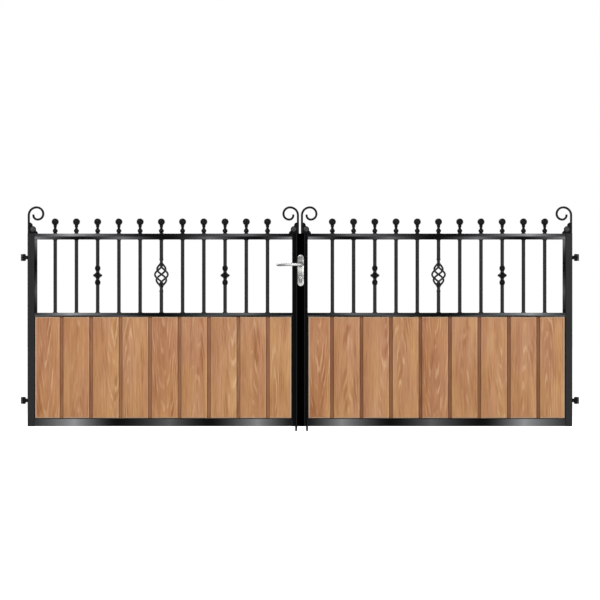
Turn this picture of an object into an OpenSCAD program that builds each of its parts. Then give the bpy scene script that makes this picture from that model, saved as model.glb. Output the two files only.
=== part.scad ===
// A pair of black steel gate leaves with boarded lower halves, hung on four hinge brackets.
// The origin is the middle of the flat face of the lower left bracket. X runs along the gate,
// Y away from the viewer and Z up. Each leaf is drawn in its own frame: x from its hinge edge,
// z from the bottom of its frame. The right leaf mirrors the left one.

/* [Overall] */
// Distance between the flat faces of the left and right hinge brackets
overall_w = 3060; // [2700:10:3400]
// Height of each leaf's frame, without its scrolls
frame_h = 1057.5; // [1000:0.5:1300]
// Gap between the two closed leaves
leaf_gap = 10; // [8:1:20]
// Distance from a bracket's flat face to the edge of its leaf
hinge_offset = 35; // [34:1:45]
// Height of the lower hinges above the bottom of the frame
lower_hinge_h = 142; // [100:1:200]
// Height of the upper hinges above the bottom of the frame
upper_hinge_h = 926; // [800:1:950]

/* [Frame] */
// Width of a stile seen from the front
stile_w = 38; // [32:1:50]
// Depth of the whole frame
frame_d = 38; // [34:1:50]
// Wall of the stiles and rails
tube_wall = 2.5; // [2:0.5:4]
// Radius of the rounded edges of the stiles, rails and slam channel
corner_r = 4; // [2:0.5:6]
// Height of the top rail
top_rail_h = 33; // [20:1:40]
// Height of the middle rail
mid_rail_h = 21; // [16:1:40]
// Height of the bottom rail
bottom_rail_h = 40; // [25:1:50]
// Height of the middle rail's top above the bottom of the frame
mid_top = 623; // [550:1:680]
// Width of the strip beside each hinge stile
strip_w = 14.5; // [10:0.5:25]
// Depth of that strip
strip_depth = 20; // [10:1:30]

/* [Bars] */
// Number of bars in a leaf, the middle one with a basket
bar_n = 11; // [11]
// Diameter of the bars
bar_d = 19; // [14:0.5:22]
// Distance from the hinge edge to the first bar
first_bar = 151; // [120:1:180]
// Distance from the last bar to the meeting edge
last_bar = 173; // [120:1:190]
// Height of an ornament's middle above the middle of its bar
ornament_up = 5.5; // [0:0.5:20]
// Largest diameter of a bar's collar
collar_d = 52; // [40:1:60]
// Half the height of the collar's double cone
collar_half = 19; // [14:1:24]
// Diameter of the bulb above and below the collar
bulb_d = 30; // [24:1:36]
// Height of a bulb
bulb_h = 29; // [20:1:32]
// Distance from the collar to the middle of a bulb
bulb_up = 39; // [36:0.5:45]

/* [Basket] */
// Number of twisted rods in a basket
strand_n = 4; // [3:1:6]
// Diameter of a twisted rod
strand_d = 10; // [7:0.5:11]
// Radius of the rods' path at the middle of the basket
basket_r = 36; // [25:0.5:40]
// Half the height of the basket's open part
basket_half = 75; // [60:1:80]
// How full the basket is towards its ends, where 1 is a cosine
basket_power = 1.15; // [0.8:0.05:1.6]
// Turn of a rod from one end to the other
basket_turn = 315; // [180:5:400]
// Distance from the basket's middle to its end rings
basket_ring_up = 88; // [82:1:95]
// Diameter of the end rings
basket_ring_d = 23; // [22:1:32]

/* [Finials] */
// Diameter of the ball
ball_d = 39.5; // [25:0.5:45]
// Height of the ball's middle above the top rail
ball_up = 64.5; // [60:0.5:80]
// Diameter of the rounded collar below it
point_d = 28.5; // [22:0.5:34]
// Height of the rounded collar's middle above the top rail
point_up = 15; // [14:0.5:20]
// Diameter of the neck
neck_d = 15; // [10:0.5:18]
// Diameter of the ring under the ball
neck_ring_d = 19.5; // [19:0.5:24]

/* [Scrolls] */
// Thickness of the scroll strap seen from the front
strap_t = 11; // [6:0.5:13]
// Depth of the scroll strap
strap_depth = 14; // [8:1:25]
// Height of the strap's straight stretch
scroll_stem = 100.5; // [80:0.5:130]
// Radius of each quarter turn of the scroll, from the stem inwards
scroll_radii = [44, 36.5, 31.5, 23.5];
// Height of the shaped bracket at the scroll's foot
foot_h = 61; // [50:1:75]
// Length of that bracket along the rail
foot_l = 56; // [50:1:70]
// Depth of that bracket
foot_depth = 16; // [8:1:25]
// How far its middle lobe stands out on each side
lobe_out = 2.5; // [1:0.5:5]

/* [Boards] */
// Number of boards in a leaf
board_n = 9; // [9]
// Thickness of a board
board_t = 20; // [16:1:22]
// Width of the sunk groove between two boards
groove_w = 20; // [8:1:24]
// Bevel of a board's front edge beside a groove
groove_bevel = 1.2; // [0.5:0.1:3]
// Bevel of the boards' front edges beside the stiles
edge_bevel = 4.5; // [1:0.5:6]
// Width of the board beside the hinge stile
first_board_w = 135.5; // [90:0.5:150]
// Width of the board beside the meeting stile
last_board_w = 119.5; // [90:0.5:150]
// How far the boards' faces lie behind the frame's face
board_recess = 7; // [4:1:10]
// Dark gap between the boards and the frame at the sides and below
board_gap = 3.6; // [2:0.2:6]
// Height of the flat bars behind the boards, above and below
cleat_h = 40; // [25:1:60]
// Width of the flat bars behind the boards, at the sides
cleat_w = 25; // [15:1:40]
// Thickness of those flat bars
cleat_t = 5; // [3:1:6]

/* [Hinges] */
// Distance from a bracket's flat face to the hinge pin's axis
pin_out = 16; // [16:0.5:17]
// Diameter of the hinge pin
pin_d = 10; // [8:0.5:11]
// Height of a hinge bracket
bracket_h = 36; // [34:1:45]
// Width of a bracket's flat face
bracket_w = 60; // [50:1:80]
// Thickness of a bracket's plate
bracket_t = 4; // [3:0.5:5]
// Thickness of the ears that hold the pin
ear_t = 7.5; // [5:0.5:9]
// Radius of the ears round the pin
ear_r = 11; // [9:0.5:12]
// Bevel round the outer faces of the ears
ear_bevel = 3; // [1:0.5:4]
// Radius of the eye that turns on the pin
eye_r = 9.5; // [8:0.5:10]
// Width of the eye's neck where it meets the stile
neck_w = 26; // [15:1:34]
// Diameter of the screw holes in a bracket
screw_d = 7; // [5:0.5:8]

/* [Lock] */
// Width of the slam channel that covers the meeting stiles
slam_w = 50; // [44:1:60]
// Distance of the channel's middle to the right of the gap's middle
slam_shift = 4; // [0:0.5:6]
// How far the channel stands out from the frame
slam_d = 20; // [18:1:28]
// Wall of the channel
slam_wall = 3; // [2:0.5:4]
// Free space between the channel and the right stile
slam_clear = 5; // [5:0.5:8]
// Distance from the top of the frame down to the lever's axis
lever_down = 170.5; // [120:0.5:300]
// Distance from the lever's axis down to the middle of the key cylinder
lock_centres = 72; // [66:1:92]
// Width of the handle plate
plate_w = 34; // [30:1:40]
// Height of the handle plate
plate_h = 173; // [165:1:200]
// Thickness of the handle plate
plate_t = 8; // [5:1:10]
// Distance from the lever's axis down to the middle of the handle plate
plate_drop = 32; // [28:1:40]
// How far the lock case reaches above the lever's axis
case_above = 34; // [20:1:45]
// How far the lock case reaches below the middle of the key cylinder
case_below = 44; // [30:1:60]
// Diameter of the lever's journal in the handle plate
journal_d = 18; // [14:1:20]
// Diameter of the boss that hides the journal
boss_d = 28; // [22:1:32]
// Length of the lever from its axis
lever_l = 134; // [100:1:150]
// Thickness of the lever beside its neck
lever_d = 18.5; // [14:0.5:20]
// Thickness of the lever at its tip
lever_tip_d = 14; // [10:0.5:16]
// How far the lever's tip droops
lever_droop = 3; // [0:0.5:8]
// Distance of the lever's bar from the handle plate
lever_out = 42; // [34:1:55]

/* [Drop bolts] */
// Diameter of the drop bolt rods
rod_d = 12; // [10:0.5:14]
// How far a raised rod hangs below the frame
rod_low = 28; // [10:1:40]
// Height of a rod's handle above the bottom of the frame
rod_top = 430; // [410:5:520]
// Distance from the left rod to its leaf's meeting edge
left_rod_in = 16; // [12:0.5:20]
// Distance from the right rod to its leaf's meeting edge
right_rod_in = 34; // [28:0.5:36]
// Distance from the frame's back to the rods' axes
rod_out = 12; // [12:0.5:16]
// Drop of the rods, from raised to down
rod_travel = 100; // [60:5:110]

/* [Hidden] */
$fn = 48;

// Colours as they show
steel = [0.18, 0.18, 0.18];
timber = [0.70, 0.51, 0.37];
stainless = [0.78, 0.78, 0.77];

// Frame
leaf_w = (overall_w - leaf_gap) / 2 - hinge_offset;
inner_w = leaf_w - 2 * stile_w;
front_y = -frame_d / 2;
back_y = frame_d / 2;
top_z = frame_h;
rail_under = frame_h - top_rail_h;
mid_under = mid_top - mid_rail_h;

// Bars
bar_pitch = (leaf_w - first_bar - last_bar) / (bar_n - 1);
bar_l = rail_under - mid_top;
ornament_z = mid_top + bar_l / 2 + ornament_up;
basket_bar = 5;
collared = [2, 8];
plain = [0, 1, 3, 4, 6, 7, 9, 10];
ring_sides = 8;
strand_rings = 30;

// Scrolls
turn_steps = 12;

// Boards
panel_w = inner_w - 2 * board_gap;
mid_boards = board_n - 2;
all_grooves = (board_n - 1) * groove_w;
mid_board_w = (panel_w - first_board_w - last_board_w - all_grooves) / mid_boards;
board_low = bottom_rail_h + board_gap;
board_high = mid_under - 0.5;
board_front = front_y + board_recess;
tongue_in = 6;
tongue_t = 7;
fit = 0.6;

// Hinges
pin_x = pin_out - hinge_offset;
pin_y = front_y;
ear_near = bracket_h / 2 - ear_t;
eye_half = ear_near - 0.5;
bore_gap = 0.05;

// Lock, in the left leaf's frame
slam_mid = leaf_w + leaf_gap / 2 + slam_shift;
slam_face = front_y - slam_d;
plate_face = slam_face - plate_t;
lever_up = frame_h - lever_down;
cylinder_up = lever_up - lock_centres;
plate_up = lever_up - plate_drop;
case_w = 38;
case_low = cylinder_up - case_below;
case_high = lever_up + case_above;
case_t = 12;
spindle_w = 8;
spindle_hole_d = 13;
cylinder_round_d = 17;
cylinder_slot_w = 10;
cylinder_slot_l = 33;
lever_y = plate_face - lever_out;

// Drop bolts
rod_y = back_y + rod_out;
lower_guide = 62;
upper_guide = 255;
guide_h = 28;
guide_r = rod_d / 2 + 5;
guide_plate_w = 34;
guide_plate_h = 44;
guide_plate_t = 4;
lower_plate_top = lower_guide + (guide_h + guide_plate_h) / 2;
stop_low = lower_plate_top + rod_travel + 1;
stop_h = 10;
grip_l = 62;

// Height and sweep of a rod of the basket at a share s of its length
function strand_z(s) = (2 * s - 1) * (basket_half - 3);
function strand_rad(s) = basket_r * pow(cos(90 * strand_z(s) / basket_half), basket_power);
function strand_turn(s, from) = from - basket_turn * (s - 0.5);
function strand_at(s, from) =
    let (a = strand_turn(s, from), r = strand_rad(s))
    [r * cos(a), r * sin(a), strand_z(s)];
function unit(v) = v / norm(v);
function strand_ring(i, from) =
    let (
        s = i / strand_rings,
        here = strand_at(s, from),
        along = unit(strand_at(min(1, s + 0.01), from) - strand_at(max(0, s - 0.01), from)),
        out = [cos(strand_turn(s, from)), sin(strand_turn(s, from)), 0],
        side = unit(cross(along, out)),
        up = cross(side, along)
    )
    [for (k = [0:ring_sides - 1])
        here + strand_d / 2 * (side * cos(360 * k / ring_sides) + up * sin(360 * k / ring_sides))];
function ring_face(i, k) =
    let (a = i * ring_sides + k, b = i * ring_sides + (k + 1) % ring_sides)
    [a, b, b + ring_sides, a + ring_sides];

module left_leaf() {
    translate([hinge_offset, 0, -lower_hinge_h]) children();
}

module right_leaf() {
    translate([overall_w, 0, 0]) mirror([1, 0, 0]) left_leaf() children();
}

// A rectangle with rounded corners
module soft_rect(w, h) {
    r = corner_r;
    translate([r, 0]) square([w - 2 * r, h]);
    translate([0, r]) square([w, h - 2 * r]);
    for (x = [r, w - r], y = [r, h - r]) translate([x, y]) circle(r = r);
}

// Frame pieces
module stile(x) {
    color(steel) translate([x, front_y, 0]) difference() {
        linear_extrude(frame_h) soft_rect(stile_w, frame_d);
        translate([tube_wall, tube_wall, -1])
            cube([stile_w - 2 * tube_wall, frame_d - 2 * tube_wall, frame_h - tube_wall + 1]);
    }
}

module rail(z, h) {
    color(steel) translate([stile_w, front_y, z]) difference() {
        rotate([90, 0, 90]) linear_extrude(inner_w) soft_rect(frame_d, h);
        translate([-1, tube_wall, tube_wall])
            cube([inner_w + 2, frame_d - 2 * tube_wall, h - 2 * tube_wall]);
    }
}

module hinge_stile() {
    stile(0);
}

module meeting_stile() {
    stile(leaf_w - stile_w);
}

module top_rail() {
    rail(rail_under, top_rail_h);
}

module mid_rail() {
    rail(mid_under, mid_rail_h);
}

module bottom_rail() {
    rail(0, bottom_rail_h);
}

module inner_strip() {
    color(steel) translate([stile_w, -strip_depth / 2, mid_top]) cube([strip_w, strip_depth, bar_l]);
}

// Bars and their ornaments, each drawn about its own axis
module on_bar(i) {
    translate([first_bar + i * bar_pitch, 0, 0]) children();
}

module plain_bar() {
    translate([0, 0, mid_top]) cylinder(d = bar_d, h = bar_l);
}

// Points of an outline that swells from one radius to another and back, about height 0
function swelling(from_r, to_r, half, steps) = [
    for (step = steps) [from_r + (to_r - from_r) * step[1], half * step[0]]];

module bulb() {
    steps = [[-1, 0], [-0.83, 0.33], [-0.55, 0.75], [-0.24, 1], [0.24, 1], [0.55, 0.75], [0.83, 0.33], [1, 0]];
    rotate_extrude() polygon(concat([[0, -bulb_h / 2]],
        swelling(bar_d / 2, bulb_d / 2, bulb_h / 2, steps), [[0, bulb_h / 2]]));
}

module collar() {
    steps = [[-1, 0], [-0.74, 0.16], [-0.47, 0.5], [-0.24, 0.83], [-0.08, 1],
        [0.08, 1], [0.24, 0.83], [0.47, 0.5], [0.74, 0.16], [1, 0]];
    rotate_extrude() polygon(concat([[0, -collar_half]],
        swelling(bar_d / 2, collar_d / 2, collar_half, steps), [[0, collar_half]]));
    for (s = [-1, 1]) translate([0, 0, s * bulb_up]) bulb();
}

module strand(from) {
    points = [for (i = [0:strand_rings]) each strand_ring(i, from)];
    sides = [for (i = [0:strand_rings - 1]) for (k = [0:ring_sides - 1]) ring_face(i, k)];
    first = [for (k = [ring_sides - 1:-1:0]) k];
    last = [for (k = [0:ring_sides - 1]) strand_rings * ring_sides + k];
    polyhedron(points, concat([first], sides, [last]), convexity = 6);
}

module basket_end() {
    ring_h = 10;
    neck_r = bar_d / 2 - 1.2;
    rotate_extrude() polygon([
        [0, basket_half - 14], [3, basket_half - 13], [neck_r - 1.5, basket_half - 6],
        [neck_r, basket_half - 2], [neck_r, basket_half + 2], [bar_d / 2, basket_ring_up - ring_h / 2],
        [basket_ring_d / 2, basket_ring_up - 2.5], [basket_ring_d / 2, basket_ring_up + 2.5],
        [bar_d / 2, basket_ring_up + ring_h / 2], [0, basket_ring_up + ring_h / 2]]);
}

module plain_bars() {
    color(steel) for (i = plain) on_bar(i) plain_bar();
}

module collared_bars() {
    color(steel) for (i = collared) on_bar(i) {
        plain_bar();
        translate([0, 0, ornament_z]) collar();
    }
}

module basket_bar() {
    color(steel) on_bar(basket_bar) {
        translate([0, 0, ornament_z]) {
            for (k = [0:strand_n - 1]) strand(360 * k / strand_n);
            basket_end();
            mirror([0, 0, 1]) basket_end();
        }
        translate([0, 0, mid_top]) cylinder(d = bar_d, h = ornament_z - basket_ring_up - mid_top);
        translate([0, 0, ornament_z + basket_ring_up])
            cylinder(d = bar_d, h = rail_under - ornament_z - basket_ring_up);
    }
}

module finial() {
    waist = bar_d / 2;
    neck = neck_d / 2;
    ring = neck_ring_d / 2;
    out = point_d / 2 - waist;
    rotate_extrude() polygon([
        [0, 0], [waist, 0], [waist, point_up - 9.5], [waist + out * 0.7, point_up - 5.5],
        [point_d / 2, point_up - 1.5], [point_d / 2, point_up + 1.5], [waist + out * 0.7, point_up + 6],
        [waist - 0.5, point_up + 10.5], [neck, point_up + 12.5], [neck, ball_up - 30],
        [ring - 0.6, ball_up - 27.5], [ring, ball_up - 25], [ring, ball_up - 12], [0, ball_up - 12]]);
    translate([0, 0, ball_up]) sphere(d = ball_d);
}

module finials() {
    color(steel) for (i = [0:bar_n - 1]) on_bar(i) translate([0, 0, top_z]) finial();
}

// Scrolls and their feet, drawn at the hinge edge and mirrored at the meeting edge
module both_edges() {
    translate([0, 0, top_z]) children();
    translate([leaf_w, 0, top_z]) mirror([1, 0, 0]) children();
}

// Each turn of a scroll: its middle, its radius, and the angles where it starts and ends
function scroll_turns() =
    let (
        r = scroll_radii,
        first = [strap_t / 2 + r[0], scroll_stem],
        second = first + [0, r[0] - r[1]],
        third = second + [r[1] - r[2], 0],
        fourth = third - [0, r[2] - r[3]]
    )
    [[first, r[0], 180, 90], [second, r[1], 90, 0], [third, r[2], 0, -90],
        [fourth, r[3], -90, -180]];
function turn_point(turn, share, out) =
    let (a = turn[2] + (turn[3] - turn[2]) * share)
    turn[0] + (turn[1] + out) * [cos(a), sin(a)];
function scroll_side(out) = [
    for (turn = scroll_turns()) for (i = [1:turn_steps]) turn_point(turn, i / turn_steps, out)];
function scroll_end() =
    let (last = scroll_turns()[3], middle = turn_point(last, 1, 0))
    [for (i = [1:5]) let (a = last[3] - 30 * i) middle + strap_t / 2 * [cos(a), sin(a)]];
function backwards(list) = [for (i = [len(list) - 1:-1:0]) list[i]];

module scroll() {
    start = [[0, 0], [0, scroll_stem]];
    finish = [[strap_t, scroll_stem], [strap_t, 0]];
    outline = concat(start, scroll_side(strap_t / 2), scroll_end(),
        backwards(scroll_side(-strap_t / 2)), finish);
    translate([0, strap_depth / 2, 0]) rotate([90, 0, 0]) linear_extrude(strap_depth) polygon(outline);
}

module scroll_foot() {
    lobe = foot_l * 0.29;
    high = foot_h - lobe;
    mid = high * 0.53;
    mid_x = foot_l * 0.62 - lobe - 1;
    translate([strap_t + mid_x, foot_depth / 2 + lobe_out, mid]) rotate([90, 0, 0])
        cylinder(r = lobe - 1, h = foot_depth + 2 * lobe_out);
    translate([strap_t, foot_depth / 2, 0]) rotate([90, 0, 0]) linear_extrude(foot_depth) intersection() {
        square([foot_l, foot_h]);
        union() {
            square([foot_l * 0.62, mid]);
            square([1, foot_h]);
            translate([0, high]) circle(r = lobe);
            square([lobe, high]);
            translate([mid_x, mid]) circle(r = lobe + 1);
            translate([foot_l - strap_t - lobe, 0]) circle(r = lobe);
        }
    }
}

module scrolls() {
    color(steel) both_edges() scroll();
}

module scroll_feet() {
    color(steel) both_edges() scroll_foot();
}

// Boards, each with a sunk tongue that enters the next board's slot
function board_w(i) = i == 0 ? first_board_w : i == board_n - 1 ? last_board_w : mid_board_w;
function board_x(i) = i == 0 ? stile_w + board_gap : board_x(i - 1) + board_w(i - 1) + groove_w;

module board_outline(i) {
    w = board_w(i);
    tongue_y = (board_t - tongue_t) / 2;
    left = i == 0 ? edge_bevel : groove_bevel;
    right = i == board_n - 1 ? edge_bevel : groove_bevel;
    difference() {
        union() {
            polygon([[0, left], [left, 0], [w - right, 0], [w, right], [w, board_t], [0, board_t]]);
            if (i < board_n - 1) translate([0, tongue_y]) square([w + groove_w + tongue_in, tongue_t]);
        }
        if (i > 0) translate([-1, tongue_y - fit / 2]) square([tongue_in + 2, tongue_t + fit]);
    }
}

module boards() {
    color(timber) for (i = [0:board_n - 1])
        translate([board_x(i), board_front, board_low]) linear_extrude(board_high - board_low) board_outline(i);
}

// The flat bars behind the boards, welded to the frame all round
module cleats() {
    all_h = mid_under - bottom_rail_h;
    color(steel) translate([stile_w, board_front + board_t, bottom_rail_h]) difference() {
        cube([inner_w, cleat_t, all_h]);
        translate([cleat_w, -1, cleat_h]) cube([inner_w - 2 * cleat_w, cleat_t + 2, all_h - 2 * cleat_h]);
    }
}

// Hinges
module at_hinges() {
    for (z = [lower_hinge_h, upper_hinge_h]) translate([pin_x, pin_y, z]) children();
}

module hinge_eye() {
    neck_far = -pin_x;
    difference() {
        union() {
            translate([0, 0, -eye_half]) cylinder(r = eye_r, h = 2 * eye_half);
            translate([0, 0, -eye_half]) linear_extrude(2 * eye_half)
                polygon([[0, -eye_r], [neck_far, 0], [neck_far, neck_w], [0, eye_r]]);
        }
        cylinder(r = pin_d / 2 + bore_gap, h = bracket_h, center = true);
    }
}

module hinge_eyes() {
    color(steel) at_hinges() hinge_eye();
}

module ear() {
    round_h = ear_t - ear_bevel;
    translate([0, pin_y, ear_near]) {
        translate([0, -ear_r, 0]) cube([pin_out, 2 * ear_r, ear_t]);
        translate([pin_out, 0, 0]) cylinder(r = ear_r, h = round_h);
        translate([pin_out, 0, round_h]) cylinder(r1 = ear_r, r2 = ear_r - ear_bevel, h = ear_bevel);
    }
}

module bracket(height) {
    screw_y = [8, 22];
    color(steel) translate([0, 0, height - lower_hinge_h]) difference() {
        union() {
            translate([0, -bracket_w / 2, -bracket_h / 2]) cube([bracket_t, bracket_w, bracket_h]);
            ear();
            mirror([0, 0, 1]) ear();
        }
        translate([pin_out, pin_y, 0])
            cylinder(r = pin_d / 2 + bore_gap, h = 2 * bracket_h, center = true);
        for (y = screw_y) translate([-1, y, 0]) rotate([0, 90, 0]) cylinder(d = screw_d, h = bracket_t + 2);
    }
}

module mirrored() {
    translate([overall_w, 0, 0]) mirror([1, 0, 0]) children();
}

module hinge_pin() {
    head_h = 1.5;
    cylinder(d = pin_d, h = bracket_h, center = true);
    for (s = [0, 1]) mirror([0, 0, s]) translate([0, 0, bracket_h / 2]) cylinder(r = pin_d / 2 + 2, h = head_h);
}

module hinge_pins() {
    color(steel) {
        left_leaf() at_hinges() hinge_pin();
        right_leaf() at_hinges() hinge_pin();
    }
}

// Lock, drawn in the left leaf's frame
module slam_channel() {
    left = slam_mid - slam_w / 2;
    right_side = left + slam_w;
    color(steel) difference() {
        translate([left, slam_face, 0]) linear_extrude(frame_h) intersection() {
            soft_rect(slam_w, slam_d + 2 * corner_r);
            square([slam_w, slam_d]);
        }
        translate([left + slam_wall, slam_face + slam_wall, slam_wall])
            cube([slam_w - 2 * slam_wall, slam_d, frame_h - 2 * slam_wall]);
        translate([leaf_w, front_y - slam_clear, -1]) cube([slam_w, slam_d, frame_h + 2]);
        on_face(lever_up) cylinder(d = journal_d + 2, h = 4 * slam_wall, center = true);
        on_face(cylinder_up) linear_extrude(4 * slam_wall, center = true) cylinder_outline(1);
    }
}

module on_face(z) {
    translate([slam_mid, slam_face, z]) rotate([90, 0, 0]) children();
}

module cylinder_outline(extra) {
    slot_low = cylinder_round_d / 2 - cylinder_slot_l + cylinder_slot_w / 2;
    circle(d = cylinder_round_d + 2 * extra);
    translate([0, slot_low]) circle(d = cylinder_slot_w + 2 * extra);
    translate([-cylinder_slot_w / 2 - extra, slot_low]) square([cylinder_slot_w + 2 * extra, -slot_low]);
}

module lock_case() {
    color(stainless) difference() {
        translate([slam_mid - case_w / 2, slam_face + slam_wall, case_low])
            cube([case_w, case_t, case_high - case_low]);
        on_face(lever_up) cylinder(d = spindle_hole_d, h = 4 * slam_d, center = true);
        on_face(cylinder_up) linear_extrude(4 * slam_d, center = true) cylinder_outline(fit / 2);
    }
}

module handle_plate() {
    r = plate_w / 2;
    color(stainless) difference() {
        on_face(plate_up) linear_extrude(plate_t) {
            square([plate_w, plate_h - plate_w], center = true);
            for (s = [-1, 1]) translate([0, s * (plate_h / 2 - r)]) circle(r = r);
        }
        on_face(lever_up) cylinder(d = journal_d + 2 * bore_gap, h = 4 * plate_t, center = true);
        on_face(cylinder_up) linear_extrude(4 * plate_t, center = true) cylinder_outline(fit / 2);
    }
}

module key_cylinder() {
    key_w = 2.4;
    key_h = 8;
    stands_out = 3;
    behind = slam_wall + case_t;
    color(stainless) difference() {
        on_face(cylinder_up) translate([0, 0, -behind])
            linear_extrude(behind + plate_t + stands_out) cylinder_outline(0);
        on_face(cylinder_up) translate([-key_w / 2, -key_h / 2, plate_t - 4]) cube([key_w, key_h, 20]);
    }
}

module lever_handle() {
    lift = 0.4;
    run = lever_l - lever_tip_d / 2;
    color(stainless) {
        on_face(lever_up) {
            cylinder(d = journal_d, h = plate_t + lever_out);
            translate([0, 0, plate_t + lift]) cylinder(d = boss_d, h = 7);
        }
        translate([slam_mid, lever_y, lever_up]) {
            sphere(d = lever_d + 1);
            rotate([0, -90 - atan(lever_droop / run), 0])
                cylinder(d1 = lever_d, d2 = lever_tip_d - 0.5, h = run);
            translate([-run, 0, -lever_droop]) sphere(d = lever_tip_d);
        }
    }
}

module lever_spindle() {
    spindle_l = slam_wall + case_t - 1;
    color(stainless) on_face(lever_up) translate([-spindle_w / 2, -spindle_w / 2, -spindle_l])
        cube([spindle_w, spindle_w, spindle_l]);
}

// Drop bolts, drawn raised in a leaf's frame
module bolt_guides(rod_in) {
    plate_x = leaf_w - stile_w / 2 - guide_plate_w / 2;
    guide_x = leaf_w - rod_in;
    color(steel) for (z = [lower_guide, upper_guide]) difference() {
        union() {
            translate([plate_x, back_y, z + guide_h / 2 - guide_plate_h / 2])
                cube([guide_plate_w, guide_plate_t, guide_plate_h]);
            translate([guide_x, rod_y, z]) cylinder(r = guide_r, h = guide_h);
            translate([guide_x - guide_r, back_y + 1, z]) cube([2 * guide_r, rod_out - 1, guide_h]);
        }
        translate([guide_x, rod_y, z - 1]) cylinder(r = rod_d / 2 + bore_gap, h = guide_h + 2);
    }
}

module drop_bolt(rod_in) {
    color(steel) translate([leaf_w - rod_in, rod_y, 0]) {
        translate([0, 0, -rod_low]) cylinder(d = rod_d, h = rod_top + rod_low);
        translate([0, 0, rod_top]) sphere(d = rod_d);
        translate([0, 0, rod_top]) rotate([-90, 0, 0]) cylinder(d = rod_d, h = grip_l);
        translate([0, grip_l, rod_top]) sphere(d = rod_d + 8);
        translate([0, 0, stop_low]) cylinder(d = rod_d + 8, h = stop_h);
    }
}

bracket(lower_hinge_h);  // left_lower_bracket
bracket(upper_hinge_h);  // left_upper_bracket
mirrored() bracket(lower_hinge_h);  // right_lower_bracket
mirrored() bracket(upper_hinge_h);  // right_upper_bracket
hinge_pins();
left_leaf() hinge_stile();  // left_hinge_stile
left_leaf() meeting_stile();  // left_meeting_stile
left_leaf() top_rail();  // left_top_rail
left_leaf() mid_rail();  // left_mid_rail
left_leaf() bottom_rail();  // left_bottom_rail
left_leaf() inner_strip();  // left_inner_strip
left_leaf() plain_bars();  // left_plain_bars
left_leaf() collared_bars();  // left_collared_bars
left_leaf() basket_bar();  // left_basket_bar
left_leaf() finials();  // left_finials
left_leaf() boards();  // left_boards
left_leaf() cleats();  // left_cleats
left_leaf() scrolls();  // left_scrolls
left_leaf() scroll_feet();  // left_scroll_feet
left_leaf() hinge_eyes();  // left_hinge_eyes
left_leaf() bolt_guides(left_rod_in);  // left_bolt_guides
right_leaf() hinge_stile();  // right_hinge_stile
right_leaf() meeting_stile();  // right_meeting_stile
right_leaf() top_rail();  // right_top_rail
right_leaf() mid_rail();  // right_mid_rail
right_leaf() bottom_rail();  // right_bottom_rail
right_leaf() inner_strip();  // right_inner_strip
right_leaf() plain_bars();  // right_plain_bars
right_leaf() collared_bars();  // right_collared_bars
right_leaf() basket_bar();  // right_basket_bar
right_leaf() finials();  // right_finials
right_leaf() boards();  // right_boards
right_leaf() cleats();  // right_cleats
right_leaf() scrolls();  // right_scrolls
right_leaf() scroll_feet();  // right_scroll_feet
right_leaf() hinge_eyes();  // right_hinge_eyes
right_leaf() bolt_guides(right_rod_in);  // right_bolt_guides
left_leaf() slam_channel();
left_leaf() lock_case();
left_leaf() handle_plate();
left_leaf() key_cylinder();
left_leaf() lever_handle();
left_leaf() lever_spindle();
left_leaf() drop_bolt(left_rod_in);  // left_drop_bolt
right_leaf() drop_bolt(right_rod_in);  // right_drop_bolt
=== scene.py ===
"""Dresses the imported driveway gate: boards, bars, scrolls, welds, lock, materials, light and camera.

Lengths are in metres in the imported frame: X along the gate, Y away from the viewer, Z up.
"""
import math
import random

import bmesh
import bpy
from mathutils import Matrix, Vector


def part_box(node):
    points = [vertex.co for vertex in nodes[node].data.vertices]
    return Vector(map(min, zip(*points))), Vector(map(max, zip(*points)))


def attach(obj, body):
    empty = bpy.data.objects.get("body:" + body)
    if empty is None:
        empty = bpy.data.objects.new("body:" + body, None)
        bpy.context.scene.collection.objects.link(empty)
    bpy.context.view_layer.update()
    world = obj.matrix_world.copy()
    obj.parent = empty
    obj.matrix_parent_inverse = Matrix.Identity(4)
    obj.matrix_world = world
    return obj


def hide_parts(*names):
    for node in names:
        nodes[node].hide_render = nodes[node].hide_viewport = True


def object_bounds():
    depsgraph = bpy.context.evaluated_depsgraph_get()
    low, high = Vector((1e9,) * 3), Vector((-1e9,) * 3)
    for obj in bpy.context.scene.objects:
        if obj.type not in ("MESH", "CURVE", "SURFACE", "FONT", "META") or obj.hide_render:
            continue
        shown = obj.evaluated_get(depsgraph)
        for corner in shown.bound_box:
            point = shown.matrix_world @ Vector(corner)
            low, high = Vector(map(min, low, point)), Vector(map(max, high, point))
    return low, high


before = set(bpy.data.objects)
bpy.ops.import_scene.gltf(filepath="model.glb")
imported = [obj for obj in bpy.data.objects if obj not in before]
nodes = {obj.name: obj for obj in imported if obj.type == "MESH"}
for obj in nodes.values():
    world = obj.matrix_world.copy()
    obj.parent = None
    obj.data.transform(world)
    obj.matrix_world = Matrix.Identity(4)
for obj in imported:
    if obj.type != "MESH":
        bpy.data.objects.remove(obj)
cad_low, cad_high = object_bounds()

MIDDLE_X = (cad_low.x + cad_high.x) / 2
stile_low, stile_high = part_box("left_hinge_stile")
rail_low, rail_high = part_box("left_top_rail")
mid_low, mid_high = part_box("left_mid_rail")
bottom_low, bottom_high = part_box("left_bottom_rail")
FRONT_Y = stile_low.y
BACK_Y = stile_high.y
TOP_Z = stile_high.z
BOTTOM_Z = stile_low.z


def centre(name):
    """Middle of a node's box."""
    low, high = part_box(name)
    return (low + high) / 2


SPINDLE = centre("lever_spindle")
# Middle height of the collars and baskets in the solids
ORNAMENT_Z = (mid_high.z + rail_low.z) / 2


def mirror_x(x):
    """The place on the right leaf that matches x on the left one."""
    return 2 * MIDDLE_X - x


# Nodes of the materials and the world


def set_inputs(node, values):
    for name, value in values.items():
        node.inputs[name].default_value = value


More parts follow.
